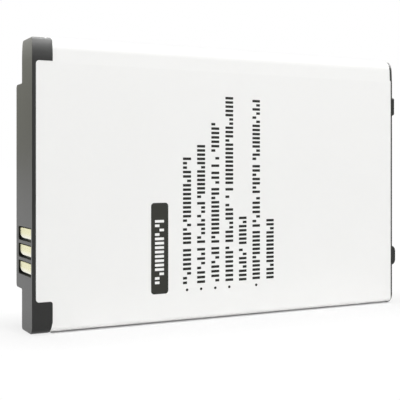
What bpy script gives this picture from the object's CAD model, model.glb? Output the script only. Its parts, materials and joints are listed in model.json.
"""Studio scene of a flat camera battery that stands on one long edge.

Lengths are in metres unless a name says otherwise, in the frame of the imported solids: X along the
pack from the contacts, Y from the printed face to the back, Z up.
"""
import json
import math

import bpy
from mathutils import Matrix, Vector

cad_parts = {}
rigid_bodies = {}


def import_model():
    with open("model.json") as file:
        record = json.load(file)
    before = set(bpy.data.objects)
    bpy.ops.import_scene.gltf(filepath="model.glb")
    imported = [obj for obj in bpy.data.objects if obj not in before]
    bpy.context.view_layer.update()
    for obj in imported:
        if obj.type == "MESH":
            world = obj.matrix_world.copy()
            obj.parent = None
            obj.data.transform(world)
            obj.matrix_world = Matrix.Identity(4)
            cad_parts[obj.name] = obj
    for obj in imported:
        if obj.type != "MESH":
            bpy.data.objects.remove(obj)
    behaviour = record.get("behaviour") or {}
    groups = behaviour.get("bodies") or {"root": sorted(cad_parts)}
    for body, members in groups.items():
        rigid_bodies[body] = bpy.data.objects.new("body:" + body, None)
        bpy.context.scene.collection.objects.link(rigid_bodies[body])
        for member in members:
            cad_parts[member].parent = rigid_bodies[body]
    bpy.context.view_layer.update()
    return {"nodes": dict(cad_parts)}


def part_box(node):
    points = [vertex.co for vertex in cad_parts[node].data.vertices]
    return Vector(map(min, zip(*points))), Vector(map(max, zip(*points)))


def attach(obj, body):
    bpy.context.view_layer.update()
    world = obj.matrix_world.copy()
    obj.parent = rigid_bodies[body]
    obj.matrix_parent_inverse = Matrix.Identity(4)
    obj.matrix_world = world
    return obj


MM = 0.001

# Camera
CAMERA_PLACE = (-0.05533, -0.10047, 0.01956)
CAMERA_TURN = math.radians(-27.26)
LENS = 76.5
SENSOR = 36.0
SHIFT_UP = -0.08
CLIP_NEAR = 0.005
CLIP_FAR = 60.0

# Floor: its colour for light, and the share of plain white that the eye sees at the pack and under it
FLOOR_REACH = 20.0
FLOOR_COLOUR = (0.82, 0.82, 0.82)
FLOOR_WHITE = 1.02
FLOOR_SHARE_NEAR = 0.7
FLOOR_SHARE_UNDER = 0.1
FLOOR_FADE = 0.012
EAR_LENGTH = 2.5 * MM

# Room as matt surfaces meet it, at the horizon and overhead
ROOM_SIDE = 0.95
ROOM_OVER = 0.3

# Room as gloss meets it, each in front of the pack and behind it: where the one turns into the other,
# its strength, the heights between which more comes on, how much more, and the blue of the first part
ROOM_TURN = (-0.3, 0.3)
ROOM_LOW = (0.02, 0.53)
ROOM_RISE_FROM = (0.42, 0.13)
ROOM_RISE_TO = (0.75, 0.38)
ROOM_HIGH = (13.5, 3.0)
ROOM_BLUE = (1.0, 0.8)

LAMPS = {
    "key": {"place": (0.2, -0.7, 0.66), "size": 0.24, "watts": 1.9},
    "fill": {"place": (0.4, -0.74, 0.36), "size": 0.5, "watts": 1.75},
    "back": {"place": (0.15, 0.75, 0.36), "size": 0.7, "watts": 1.5},
}

# Finishes
GRAIN_SIZE = 0.12
CLOUD_SIZE = 6.0
GRAIN_DETAIL = 3.0
CLOUD_DETAIL = 2.0
GRAIN_SHARE = 0.35
CLOUD_SHARE = 0.65
GRAIN_SPAN = (0.3, 0.7)
COAT_ROUGHNESS = 0.1
CERAMIC = (0.2, 0.15, 0.1)
CERAMIC_WORN = (0.26, 0.2, 0.14)
PACKAGE = (0.018, 0.018, 0.018)
PACKAGE_WORN = (0.028, 0.028, 0.028)
TIN = (0.62, 0.61, 0.59)
RUBBED = (0.97, 0.96, 0.9)
RUBBED_SHARE = 0.85
RUBBED_EDGE = 0.05 * MM

# Print on the label: each row's middle along the pack and the heights between which its words run,
# in the pack's millimetres
INK_THICKNESS = 0.008 * MM
INK_SINK = 0.002 * MM
CAP_HEIGHT = 1.16 * MM
STROKE_WIDTH = 0.33 * MM
STROKE_PITCH = 0.54 * MM
STROKE_CORNER = 0.05 * MM
SHORT_SHARE = 0.3
SHORT_LENGTH = 0.5
BULLET_RADIUS = 0.18 * MM
BULLET_ROUNDING = 0.98
BULLET_HEIGHT = 4.02
BULLET_ROWS = (20.19, 22.21, 24.28, 26.36, 30.46)
PRINT_ROWS = (
    (20.19, ((4.77, 9.23), (9.87, 20.90))),
    (22.21, ((4.77, 9.27), (9.92, 15.19), (15.70, 22.52))),
    (24.28, ((4.83, 9.31), (9.87, 16.97), (17.52, 19.09), (19.69, 20.99), (21.66, 25.40))),
    (26.36, ((4.78, 9.29), (9.88, 14.88), (15.64, 16.94), (17.47, 28.85))),
    (28.39, ((4.73, 8.94), (9.53, 13.15))),
    (30.46, ((4.79, 11.18), (11.74, 15.70), (16.23, 19.96), (20.62, 28.61))),
    (32.62, ((4.75, 12.72),)),
)
BAR_LOW = (15.18, 3.75)
BAR_HIGH = (17.55, 15.19)
BAR_CORNER = 0.4 * MM
BAR_ROW = ((16.33, ((5.01, 13.04),)),)
BAR_STROKE_HEIGHT = 1.24 * MM
DOT = 0.001
SINGLE_REACH = 0.05 * MM
WELD_REACH = 0.0005 * MM
CORNER_STEPS = 4


def clear_scene():
    """Remove what a new file starts with."""
    for thing in list(bpy.data.objects):
        bpy.data.objects.remove(thing)


def node(tree, kind, **settings):
    """New node with its settings."""
    made = tree.nodes.new(kind)
    for name, value in settings.items():
        setattr(made, name, value)
    return made


def feed(tree, target, *sources):
    """Fill a node's sockets in order: a socket is linked, anything else is its value."""
    for socket, source in zip(target.inputs, sources):
        if isinstance(source, bpy.types.NodeSocket):
            tree.links.new(source, socket)
        elif source is not None:
            socket.default_value = source
    return target.outputs[0] if target.outputs else None


def calc(tree, operation, *sources):
    """Math node on up to three sources."""
    return feed(tree, node(tree, "ShaderNodeMath", operation=operation), *sources)


def vector_calc(tree, operation, *sources):
    """Vector math node on up to two sources."""
    return feed(tree, node(tree, "ShaderNodeVectorMath", operation=operation), *sources)


def ramp(tree, value, *ends):
    """Value mapped from between two ends to between two others."""
    return feed(tree, node(tree, "ShaderNodeMapRange"), value, *ends)


def blend(tree, share, bottom, top):
    """Colour that turns from the bottom one to the top one with the share."""
    mixed = node(tree, "ShaderNodeMix", data_type="RGBA")
    for label, source in (("Factor", share), ("A", bottom), ("B", top)):
        if isinstance(source, bpy.types.NodeSocket):
            tree.links.new(source, mixed.inputs[label])
        else:
            mixed.inputs[label].default_value = (*source, 1)
    return mixed.outputs["Result"]


def indirect_view(tree, light_path):
    """1 for mirrored and transmitted rays, else 0."""
    return calc(tree, "MAXIMUM", light_path.outputs["Is Glossy Ray"],
                light_path.outputs["Is Transmission Ray"])


def grey(value):
    """Opaque grey colour."""
    return (value, value, value, 1)


# Shader groups


def new_group(name, inputs, outputs):
    """Empty shader group with its sockets, and its two end nodes."""
    group = bpy.data.node_groups.new(name, "ShaderNodeTree")
    for label, kind, value in inputs:
        socket = group.interface.new_socket(label, in_out="INPUT", socket_type=kind)
        if value is not None:
            socket.default_value = value
    for label, kind in outputs:
        group.interface.new_socket(label, in_out="OUTPUT", socket_type=kind)
    return group, node(group, "NodeGroupInput"), node(group, "NodeGroupOutput")


def surface_marks():
    """Fine grain and broad clouds on Object coordinates."""
    group, start, end = new_group(
        "surface_marks",
        (
            ("Stretch", "NodeSocketVector", (1, 1, 1)),
            ("Grain Size", "NodeSocketFloat", GRAIN_SIZE * MM),
            ("Cloud Size", "NodeSocketFloat", CLOUD_SIZE * MM),
        ),
        (("Grain", "NodeSocketFloat"), ("Cloud", "NodeSocketFloat")),
    )
    place = node(group, "ShaderNodeTexCoord").outputs["Object"]
    stretched = vector_calc(group, "DIVIDE", place, start.outputs["Stretch"])
    for index, (label, detail) in enumerate((("Grain", GRAIN_DETAIL), ("Cloud", CLOUD_DETAIL))):
        noise = node(group, "ShaderNodeTexNoise")
        scale = calc(group, "DIVIDE", 1.0, start.outputs[f"{label} Size"])
        group.links.new(stretched, noise.inputs["Vector"])
        group.links.new(scale, noise.inputs["Scale"])
        noise.inputs["Detail"].default_value = detail
        group.links.new(noise.outputs[0], end.inputs[index])
    return group


def beyond_mask():
    """1 where a point lies further than Half from Middle along Axis, else 0."""
    group, start, end = new_group(
        "beyond_mask",
        (
            ("Middle", "NodeSocketVector", (0, 0, 0)),
            ("Axis", "NodeSocketVector", (0, 0, 1)),
            ("Half", "NodeSocketFloat", 0.5 * MM),
        ),
        (("Mask", "NodeSocketFloat"),),
    )
    place = node(group, "ShaderNodeTexCoord").outputs["Object"]
    offset = vector_calc(group, "SUBTRACT", place, start.outputs["Middle"])
    along = node(group, "ShaderNodeVectorMath", operation="DOT_PRODUCT")
    feed(group, along, offset, start.outputs["Axis"])
    distance = calc(group, "ABSOLUTE", along.outputs["Value"])
    group.links.new(calc(group, "GREATER_THAN", distance, start.outputs["Half"]), end.inputs[0])
    return group


# Materials


def finish(name, colour, worn, roughness, spread, metallic=0.0, specular=0.5, depth=0.0,
           stretch=(1, 1, 1), grain_size=GRAIN_SIZE, cloud_size=CLOUD_SIZE, coat=0.0, ends=None,
           rubbed=None):
    """Material whose colour, roughness and relief follow the surface marks.

    The sizes and the depth are in millimetres. Ends, where given, are tinned metal: a middle, an axis
    and the half length of the body between them. Rubbed, where given, is the height of the lower edge
    at which the metal is palest and the height where that ends.
    """
    material = bpy.data.materials.new(name)
    material.use_nodes = True
    tree = material.node_tree
    shader = tree.nodes["Principled BSDF"]
    marks = node(tree, "ShaderNodeGroup", node_tree=bpy.data.node_groups["surface_marks"])
    marks.inputs["Stretch"].default_value = stretch
    marks.inputs["Grain Size"].default_value = grain_size * MM
    marks.inputs["Cloud Size"].default_value = cloud_size * MM
    grain, cloud = marks.outputs
    wear = calc(tree, "MULTIPLY_ADD", grain, GRAIN_SHARE, calc(tree, "MULTIPLY", cloud, CLOUD_SHARE))
    paint = blend(tree, wear, colour, worn)
    rough = ramp(tree, grain, *GRAIN_SPAN, roughness - spread, roughness + spread)
    shader.inputs["Metallic"].default_value = metallic
    if ends:
        mask = node(tree, "ShaderNodeGroup", node_tree=bpy.data.node_groups["beyond_mask"])
        tinned = feed(tree, mask, *ends)
        paint = blend(tree, tinned, paint, TIN)
        tree.links.new(tinned, shader.inputs["Metallic"])
    if rubbed:
        height = node(tree, "ShaderNodeSeparateXYZ")
        feed(tree, height, node(tree, "ShaderNodeTexCoord").outputs["Object"])
        share = ramp(tree, height.outputs["Z"], *rubbed, RUBBED_SHARE, 0.0)
        paint = blend(tree, share, paint, RUBBED)
    tree.links.new(paint, shader.inputs["Base Color"])
    tree.links.new(rough, shader.inputs["Roughness"])
    shader.inputs["Specular IOR Level"].default_value = specular
    shader.inputs["Coat Weight"].default_value = coat
    shader.inputs["Coat Roughness"].default_value = COAT_ROUGHNESS
    if depth:
        bump = node(tree, "ShaderNodeBump")
        bump.inputs["Strength"].default_value = 1.0
        bump.inputs["Distance"].default_value = depth * MM
        tree.links.new(grain, bump.inputs["Height"])
        tree.links.new(bump.outputs["Normal"], shader.inputs["Normal"])
    return material


def make_materials():
    """Every finish of the pack by name."""
    return {
        "cap_plastic": finish("cap_plastic", (0.008, 0.0082, 0.0076), (0.011, 0.0113, 0.0103), 0.32,
                              0.04, specular=0.42, depth=0.003, grain_size=0.16, cloud_size=5),
        "label_film": finish("label_film", (0.885, 0.885, 0.872), (0.905, 0.905, 0.893), 0.34, 0.03,
                             specular=0.3, depth=0.0012, grain_size=0.9, cloud_size=12),
        "label_ink": finish("label_ink", (0.009, 0.009, 0.007), (0.014, 0.014, 0.011), 0.4, 0.04,
                            specular=0.3, depth=0.002, grain_size=0.2, cloud_size=3),
        "bar_ink": finish("bar_ink", (0.018, 0.018, 0.014), (0.024, 0.024, 0.019), 0.4, 0.04,
                          specular=0.3, depth=0.002, grain_size=0.2, cloud_size=3),
        "can_aluminium": finish("can_aluminium", (0.76, 0.77, 0.78), (0.66, 0.67, 0.68), 0.36, 0.07,
                                metallic=1.0, depth=0.003, stretch=(12, 1, 1), grain_size=0.1,
                                cloud_size=5),
        "nickel": finish("nickel", (0.68, 0.66, 0.61), (0.58, 0.56, 0.52), 0.33, 0.06, metallic=1.0,
                         depth=0.002, stretch=(1, 1, 8), grain_size=0.08, cloud_size=2),
        "board_laminate": finish("board_laminate", (0.015, 0.022, 0.017), (0.024, 0.034, 0.027), 0.38,
                                 0.05, depth=0.004, grain_size=0.25, cloud_size=1.5, coat=0.3),
        "gasket_plastic": finish("gasket_plastic", (0.74, 0.73, 0.69), (0.68, 0.67, 0.62), 0.5, 0.05,
                                 depth=0.003, cloud_size=2),
        "spacer_plastic": finish("spacer_plastic", (0.03, 0.03, 0.032), (0.04, 0.04, 0.041), 0.48, 0.05,
                                 depth=0.004, cloud_size=4),
        "insulating_paper": finish("insulating_paper", (0.3, 0.38, 0.22), (0.38, 0.46, 0.29), 0.85,
                                   0.05, depth=0.008, stretch=(1, 1, 5), grain_size=0.1,
                                   cloud_size=2),
        "foam_tape": finish("foam_tape", (0.84, 0.83, 0.77), (0.78, 0.76, 0.69), 0.8, 0.06, depth=0.02,
                            grain_size=0.2, cloud_size=3),
        "cutoff_body": finish("cutoff_body", (0.5, 0.34, 0.1), (0.42, 0.28, 0.08), 0.45, 0.06,
                              depth=0.005, grain_size=0.15, cloud_size=1.5),
    }


def tinned_finish(name, axis, body):
    """Finish of one small part: a body, its length in millimetres, between tinned ends or legs."""
    low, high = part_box(name)
    middle = (low + high) / 2
    direction = tuple(1.0 if index == axis else 0.0 for index in range(3))
    ceramic = name.endswith(("resistor", "capacitor"))
    colours = (CERAMIC, CERAMIC_WORN) if ceramic else (PACKAGE, PACKAGE_WORN)
    return finish(f"{name}_finish", *colours, 0.45, 0.05, depth=0.003, cloud_size=1,
                  ends=(middle, direction, body * MM / 2))


def plated_finish(name):
    """Gold-flashed finish of one contact pad, rubbed pale along its lower edge."""
    low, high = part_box(name)
    return finish(f"{name}_finish", (0.87, 0.84, 0.55), (0.80, 0.76, 0.47), 0.3, 0.08, metallic=1.0,
                  depth=0.002, stretch=(1, 3, 0.6), grain_size=0.14, cloud_size=1.2,
                  rubbed=(low.z + RUBBED_EDGE, (low.z + high.z) / 2))


# Finish of each solid, but for the small parts and the pads
FINISHES = {
    "contact_cap": "cap_plastic",
    "far_end_cap": "cap_plastic",
    "label_wrap": "label_film",
    "cell": "can_aluminium",
    "rivet_gasket": "gasket_plastic",
    "terminal_rivet": "nickel",
    "fill_plug": "can_aluminium",
    "clad_tab": "can_aluminium",
    "lid_paper": "insulating_paper",
    "protection_board": "board_laminate",
    "board_spacer": "spacer_plastic",
    "thermal_cutoff": "cutoff_body",
    "negative_lead": "nickel",
    "cutoff_lead": "nickel",
    "positive_lead": "nickel",
    "end_tape": "foam_tape",
}

# Small parts: the axis with the tinned ends or legs, and the length of the body between them
TINNED = {
    "protection_chip": (1, 1.6),
    "switch_chip": (1, 2.7),
    "identity_resistor": (2, 1.0),
    "filter_resistor": (2, 1.0),
    "filter_capacitor": (2, 1.0),
    "sense_resistor": (2, 1.0),
}


def dress(frame, materials):
    """Give every solid its finish."""
    for name, thing in frame["nodes"].items():
        if name.startswith("contact_pad"):
            finish_of_node = plated_finish(name)
        elif name in TINNED:
            finish_of_node = tinned_finish(name, *TINNED[name])
        else:
            finish_of_node = materials[FINISHES[name]]
        for slot in thing.material_slots:
            slot.material = finish_of_node


# Print


def plate_tree(name, shape):
    """Geometry tree that sets a flat printed plate at each point along the input's edges.

    Shape builds the plate's outline curve in the XY plane from the tree's inputs.
    """
    tree = bpy.data.node_groups.new(name, "GeometryNodeTree")
    face = tree.interface
    face.new_socket("Geometry", in_out="INPUT", socket_type="NodeSocketGeometry")
    for label in ("Pitch", "Across", "Along", "Corner", "Thickness", "Short Share", "Short Length"):
        face.new_socket(label, in_out="INPUT", socket_type="NodeSocketFloat")
    face.new_socket("Ink", in_out="INPUT", socket_type="NodeSocketMaterial")
    face.new_socket("Geometry", in_out="OUTPUT", socket_type="NodeSocketGeometry")
    start = node(tree, "NodeGroupInput")
    end = node(tree, "NodeGroupOutput")
    lines = feed(tree, node(tree, "GeometryNodeMeshToCurve"), start.outputs["Geometry"])
    spaced = node(tree, "GeometryNodeCurveToPoints", mode="LENGTH")
    tree.links.new(lines, spaced.inputs["Curve"])
    tree.links.new(start.outputs["Pitch"], spaced.inputs["Length"])
    single = node(tree, "GeometryNodeMergeByDistance")
    tree.links.new(spaced.outputs["Points"], single.inputs["Geometry"])
    single.inputs["Distance"].default_value = SINGLE_REACH
    outline = shape(tree, start.outputs)
    filled = node(tree, "GeometryNodeFillCurve", mode="NGONS")
    tree.links.new(outline, filled.inputs["Curve"])
    raised = node(tree, "GeometryNodeExtrudeMesh", mode="FACES")
    tree.links.new(filled.outputs[0], raised.inputs["Mesh"])
    tree.links.new(start.outputs["Thickness"], raised.inputs["Offset Scale"])
    raised.inputs["Individual"].default_value = False
    under = feed(tree, node(tree, "GeometryNodeFlipFaces"), filled.outputs[0])
    closed = node(tree, "GeometryNodeJoinGeometry")
    tree.links.new(raised.outputs["Mesh"], closed.inputs[0])
    tree.links.new(under, closed.inputs[0])
    welded = node(tree, "GeometryNodeMergeByDistance")
    tree.links.new(closed.outputs[0], welded.inputs["Geometry"])
    welded.inputs["Distance"].default_value = WELD_REACH
    turned = node(tree, "GeometryNodeTransform")
    tree.links.new(welded.outputs[0], turned.inputs["Geometry"])
    turned.inputs["Rotation"].default_value = (math.pi / 2, 0, 0)
    flat = feed(tree, node(tree, "GeometryNodeSetShadeSmooth"), turned.outputs[0], None, False)
    moved, size = varied_strokes(tree, start.outputs, single.outputs[0])
    placed = node(tree, "GeometryNodeInstanceOnPoints")
    tree.links.new(moved, placed.inputs["Points"])
    tree.links.new(flat, placed.inputs["Instance"])
    tree.links.new(size, placed.inputs["Scale"])
    real = feed(tree, node(tree, "GeometryNodeRealizeInstances"), placed.outputs[0])
    inked = node(tree, "GeometryNodeSetMaterial")
    tree.links.new(real, inked.inputs["Geometry"])
    tree.links.new(start.outputs["Ink"], inked.inputs["Material"])
    tree.links.new(inked.outputs[0], end.inputs[0])
    return tree


def chance(tree, seed):
    """Random number from 0 to 1 at each point."""
    drawn = node(tree, "FunctionNodeRandomValue", data_type="FLOAT")
    drawn.inputs["Seed"].default_value = seed
    return drawn.outputs[1]


def varied_strokes(tree, inputs, points):
    """Shorten a share of the strokes towards the row's upper or lower line.

    Returns the moved points and the scale of the plate at each.
    """
    short = calc(tree, "LESS_THAN", chance(tree, 1), inputs["Short Share"])
    cut = calc(tree, "MULTIPLY", short, calc(tree, "SUBTRACT", 1.0, inputs["Short Length"]))
    side = calc(tree, "SIGN", calc(tree, "SUBTRACT", chance(tree, 2), 0.5))
    half = calc(tree, "MULTIPLY", inputs["Across"], 0.5)
    slide = calc(tree, "MULTIPLY", calc(tree, "MULTIPLY", cut, side), half)
    offset = feed(tree, node(tree, "ShaderNodeCombineXYZ"), slide)
    moved = node(tree, "GeometryNodeSetPosition")
    tree.links.new(points, moved.inputs["Geometry"])
    tree.links.new(offset, moved.inputs["Offset"])
    size = feed(tree, node(tree, "ShaderNodeCombineXYZ"), calc(tree, "SUBTRACT", 1.0, cut), 1.0, 1.0)
    return moved.outputs[0], size


def rounded_outline(tree, inputs):
    """Rectangle with rounded corners, Across by Along."""
    outline = node(tree, "GeometryNodeCurvePrimitiveQuadrilateral")
    tree.links.new(inputs["Across"], outline.inputs["Width"])
    tree.links.new(inputs["Along"], outline.inputs["Height"])
    rounded = node(tree, "GeometryNodeFilletCurve", mode="POLY")
    tree.links.new(outline.outputs[0], rounded.inputs["Curve"])
    rounded.inputs["Count"].default_value = CORNER_STEPS
    tree.links.new(inputs["Corner"], rounded.inputs["Radius"])
    return rounded.outputs[0]


def build_print(name, tree, segments, ink, pitch, across, along, corner, lift=0.0, short=0.0):
    """Printed plates along vertical segments (x, low z, high z), in the pack's millimetres."""
    face_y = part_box("label_wrap")[0].y + INK_SINK - lift
    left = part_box("contact_cap")[0].x
    points = []
    edges = []
    for x, low, high in segments:
        edges.append((len(points), len(points) + 1))
        points += [(left + x * MM, face_y, low * MM), (left + x * MM, face_y, high * MM)]
    mesh = bpy.data.meshes.new(f"{name}_lines")
    mesh.from_pydata(points, edges, [])
    lines = bpy.data.objects.new(f"{name}_lines", mesh)
    bpy.context.scene.collection.objects.link(lines)
    change = lines.modifiers.new("print", "NODES")
    change.node_group = tree
    values = {"Pitch": pitch, "Across": across, "Along": along, "Corner": corner,
              "Thickness": INK_THICKNESS + INK_SINK, "Short Share": short, "Short Length": SHORT_LENGTH,
              "Ink": ink}
    for item in tree.interface.items_tree:
        if item.in_out == "INPUT" and item.name in values:
            change[item.identifier] = values[item.name]
    ready = lines.evaluated_get(bpy.context.evaluated_depsgraph_get())
    made = bpy.data.objects.new(name, bpy.data.meshes.new_from_object(ready))
    made.data.name = name
    bpy.data.objects.remove(lines)
    bpy.context.scene.collection.objects.link(made)
    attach(made, "root")
    return made


def print_label(materials):
    """All print on the label's front."""
    tree = plate_tree("printed_plates", rounded_outline)
    margin = STROKE_WIDTH / MM / 2

    def words(rows):
        return [(x, low + margin, high - margin) for x, spans in rows for low, high in spans]

    build_print("print_rows", tree, words(PRINT_ROWS), materials["label_ink"], STROKE_PITCH, CAP_HEIGHT,
                STROKE_WIDTH, STROKE_CORNER, short=SHORT_SHARE)
    dots = [(x, BULLET_HEIGHT - DOT, BULLET_HEIGHT + DOT) for x in BULLET_ROWS]
    build_print("print_bullets", tree, dots, materials["label_ink"], 1.0, 2 * BULLET_RADIUS,
                2 * BULLET_RADIUS, BULLET_RADIUS * BULLET_ROUNDING)
    middle_x, middle_z = ((BAR_LOW[axis] + BAR_HIGH[axis]) / 2 for axis in range(2))
    bar = [(middle_x, middle_z - DOT, middle_z + DOT)]
    build_print("print_bar", tree, bar, materials["bar_ink"], 1.0, (BAR_HIGH[0] - BAR_LOW[0]) * MM,
                (BAR_HIGH[1] - BAR_LOW[1]) * MM, BAR_CORNER)
    build_print("print_bar_row", tree, words(BAR_ROW), materials["label_film"], STROKE_PITCH,
                BAR_STROKE_HEIGHT, STROKE_WIDTH, STROKE_CORNER, lift=INK_THICKNESS, short=SHORT_SHARE)


def build_stage():
    """White floor that keeps the shadow, whiter by itself with the distance from the wrapped body."""
    mesh = bpy.data.meshes.new("floor")
    corners = ((-1, -1), (1, -1), (1, 1), (-1, 1))
    mesh.from_pydata([(x * FLOOR_REACH, y * FLOOR_REACH, 0) for x, y in corners], [], [(0, 1, 2, 3)])
    floor = bpy.data.objects.new("floor", mesh)
    bpy.context.scene.collection.objects.link(floor)
    material = bpy.data.materials.new("floor_white")
    material.use_nodes = True
    tree = material.node_tree
    tree.nodes.clear()
    light_path = node(tree, "ShaderNodeLightPath")
    camera_ray = light_path.outputs["Is Camera Ray"]
    seen = calc(tree, "MAXIMUM", camera_ray, indirect_view(tree, light_path))
    place = node(tree, "ShaderNodeTexCoord").outputs["Object"]
    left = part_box("contact_cap")[0].x + EAR_LENGTH
    (_, front, _), (right, back, _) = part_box("label_wrap")
    middle = ((left + right) / 2, (front + back) / 2, 0)
    half = ((right - left) / 2, (back - front) / 2, 0)
    side = vector_calc(tree, "ABSOLUTE", vector_calc(tree, "SUBTRACT", place, middle))
    outside = vector_calc(tree, "MAXIMUM", vector_calc(tree, "SUBTRACT", side, half), (0, 0, 0))
    length = node(tree, "ShaderNodeVectorMath", operation="LENGTH")
    feed(tree, length, outside)
    distance = length.outputs["Value"]
    fade = ramp(tree, distance, 0.0, FLOOR_FADE, FLOOR_SHARE_NEAR, 1.0)
    beside = calc(tree, "GREATER_THAN", distance, 0.0)
    share = calc(tree, "MULTIPLY", fade, calc(tree, "MAXIMUM", beside, FLOOR_SHARE_UNDER))
    share = calc(tree, "MULTIPLY", seen, share)
    matt = feed(tree, node(tree, "ShaderNodeBsdfDiffuse"), (*FLOOR_COLOUR, 1))
    white = feed(tree, node(tree, "ShaderNodeEmission"), grey(1.0), FLOOR_WHITE)
    both = feed(tree, node(tree, "ShaderNodeMixShader"), share, matt, white)
    feed(tree, node(tree, "ShaderNodeOutputMaterial"), both)
    mesh.materials.append(material)


def build_world():
    """Pale room: white to the camera, soft to matt surfaces, shaped by side and height for gloss."""
    world = bpy.data.worlds.new("studio")
    bpy.context.scene.world = world
    world.use_nodes = True
    tree = world.node_tree
    tree.nodes.clear()
    light_path = node(tree, "ShaderNodeLightPath")
    toward = node(tree, "ShaderNodeSeparateXYZ")
    feed(tree, toward, node(tree, "ShaderNodeTexCoord").outputs["Generated"])
    _, side, height = toward.outputs

    def by_side(front, back):
        return ramp(tree, side, *ROOM_TURN, front, back)

    low = by_side(*ROOM_LOW)
    high = ramp(tree, height, by_side(*ROOM_RISE_FROM), by_side(*ROOM_RISE_TO), 0.0, by_side(*ROOM_HIGH))
    room = calc(tree, "ADD", low, high)
    blue = calc(tree, "MULTIPLY_ADD", low, by_side(*ROOM_BLUE), high)
    tone = feed(tree, node(tree, "ShaderNodeCombineColor"), room, room, blue)
    mirrored = feed(tree, node(tree, "ShaderNodeBackground"), tone, 1.0)
    strength = ramp(tree, height, 0.0, 1.0, ROOM_SIDE, ROOM_OVER)
    soft = feed(tree, node(tree, "ShaderNodeBackground"), grey(1.0), strength)
    gloss = indirect_view(tree, light_path)
    unseen = feed(tree, node(tree, "ShaderNodeMixShader"), gloss, soft, mirrored)
    white = feed(tree, node(tree, "ShaderNodeBackground"), grey(1.0), 1.0)
    camera_ray = light_path.outputs["Is Camera Ray"]
    whole = feed(tree, node(tree, "ShaderNodeMixShader"), camera_ray, unseen, white)
    feed(tree, node(tree, "ShaderNodeOutputWorld"), whole)


def build_lamps():
    """Soft square lamps, aimed at the pack."""
    for name, lamp in LAMPS.items():
        light = bpy.data.lights.new(name, "AREA")
        light.size = lamp["size"]
        light.energy = lamp["watts"]
        holder = bpy.data.objects.new(name, light)
        holder.location = lamp["place"]
        aim = holder.location * -1
        holder.rotation_euler = aim.to_track_quat("-Z", "Y").to_euler()
        bpy.context.scene.collection.objects.link(holder)


def build_camera():
    """Level camera, shifted down so that upright edges stay upright."""
    lens = bpy.data.cameras.new("camera")
    lens.lens = LENS
    lens.sensor_width = SENSOR
    lens.shift_y = SHIFT_UP
    lens.clip_start = CLIP_NEAR
    lens.clip_end = CLIP_FAR
    camera = bpy.data.objects.new("camera", lens)
    camera.location = CAMERA_PLACE
    camera.rotation_euler = (math.pi / 2, 0, CAMERA_TURN)
    bpy.context.scene.collection.objects.link(camera)
    bpy.context.scene.camera = camera


clear_scene()
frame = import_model()
bpy.context.scene.view_settings.view_transform = "Standard"
build_camera()
surface_marks()
beyond_mask()
materials = make_materials()
dress(frame, materials)
print_label(materials)
build_stage()
build_world()
build_lamps()
